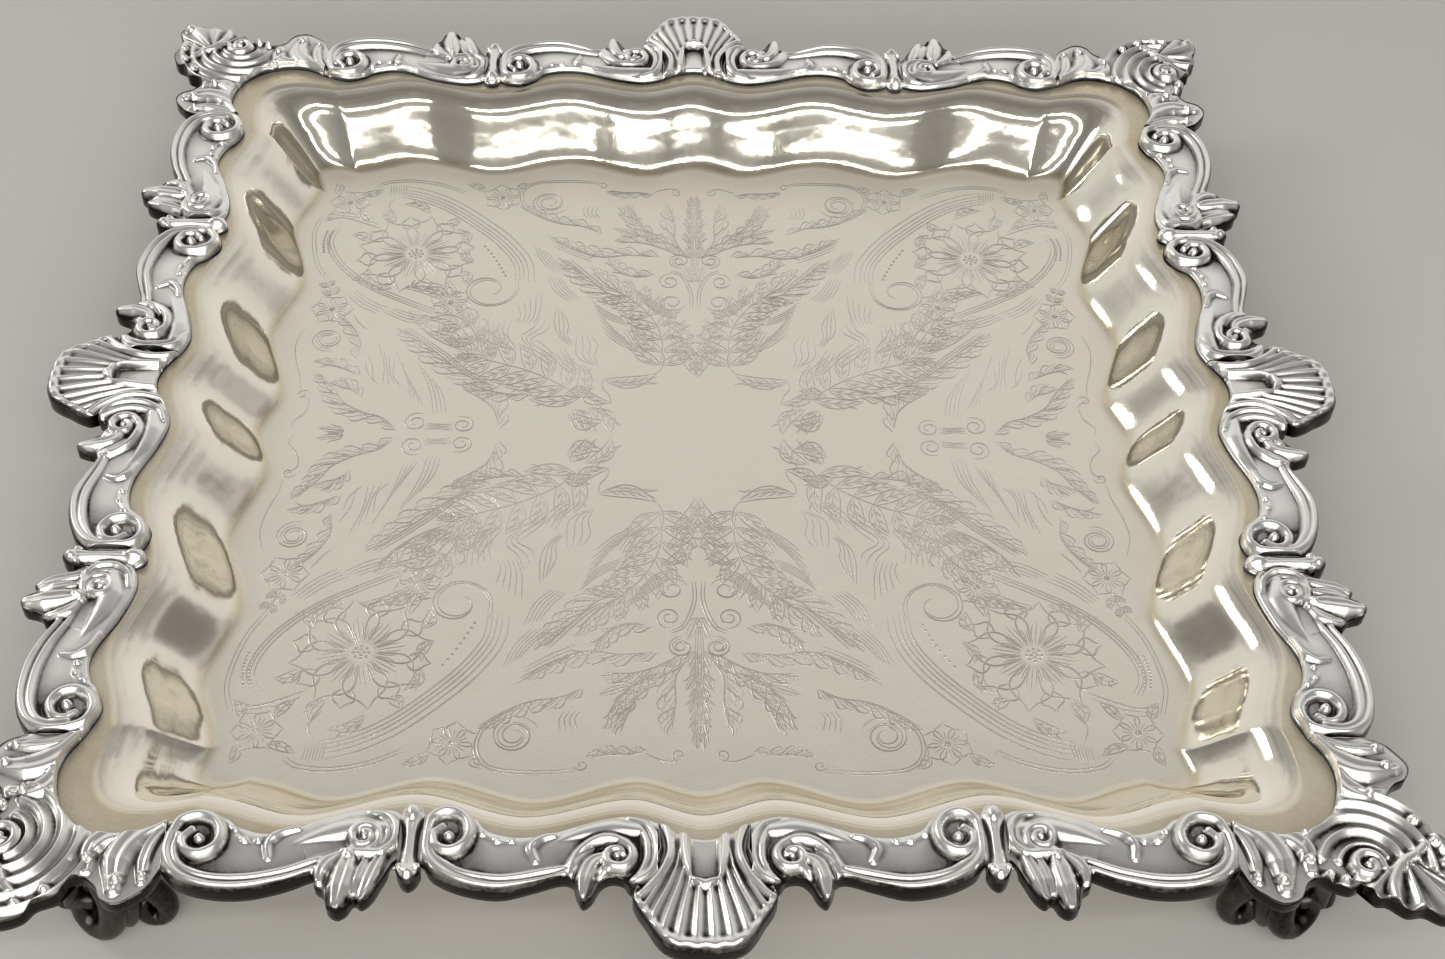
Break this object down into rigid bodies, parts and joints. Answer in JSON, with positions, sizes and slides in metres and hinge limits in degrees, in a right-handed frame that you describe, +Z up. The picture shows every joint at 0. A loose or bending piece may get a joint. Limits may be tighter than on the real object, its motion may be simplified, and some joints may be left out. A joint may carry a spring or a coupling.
{
  "type": "footed salver",
  "caption": "Square footed salver: a shallow tray with a fluted wall and engraved floor, a cast scroll-and-shell border, and scroll feet under the corners.",
  "frame": {"origin": "on the surface that the feet stand on, below the centre of the tray", "axes": "+Z up, out of the tray; +X to the right and +Y to the back, each square to a side"},
  "size_m": [0.34, 0.34, 0.0334],
  "materials": {
    "tray_silver": "softly polished silver plate, satin on the engraved floor",
    "mount_silver": "polished silver plate with dark patina in the recesses",
    "foot_silver": "polished silver plate, darker with patina than the border"
  },
  "bodies": {
    "root": {"corner_mount_back_left": "mount_silver", "corner_mount_back_right": "mount_silver", "corner_mount_front_left": "mount_silver", "corner_mount_front_right": "mount_silver", "foot_back_left": "foot_silver", "foot_back_right": "foot_silver", "foot_front_left": "foot_silver", "foot_front_right": "foot_silver", "inner_scroll_back_left": "mount_silver", "inner_scroll_back_right": "mount_silver", "inner_scroll_front_left": "mount_silver", "inner_scroll_front_right": "mount_silver", "inner_scroll_left_back": "mount_silver", "inner_scroll_left_front": "mount_silver", "inner_scroll_right_back": "mount_silver", "inner_scroll_right_front": "mount_silver", "leaf_tie_back_left": "mount_silver", "leaf_tie_back_right": "mount_silver", "leaf_tie_front_left": "mount_silver", "leaf_tie_front_right": "mount_silver", "leaf_tie_left_back": "mount_silver", "leaf_tie_left_front": "mount_silver", "leaf_tie_right_back": "mount_silver", "leaf_tie_right_front": "mount_silver", "outer_scroll_back_left": "mount_silver", "outer_scroll_back_right": "mount_silver", "outer_scroll_front_left": "mount_silver", "outer_scroll_front_right": "mount_silver", "outer_scroll_left_back": "mount_silver", "outer_scroll_left_front": "mount_silver", "outer_scroll_right_back": "mount_silver", "outer_scroll_right_front": "mount_silver", "shell_mount_back": "mount_silver", "shell_mount_front": "mount_silver", "shell_mount_left": "mount_silver", "shell_mount_right": "mount_silver", "tray_body": "tray_silver"}
  },
  "joints": []
}
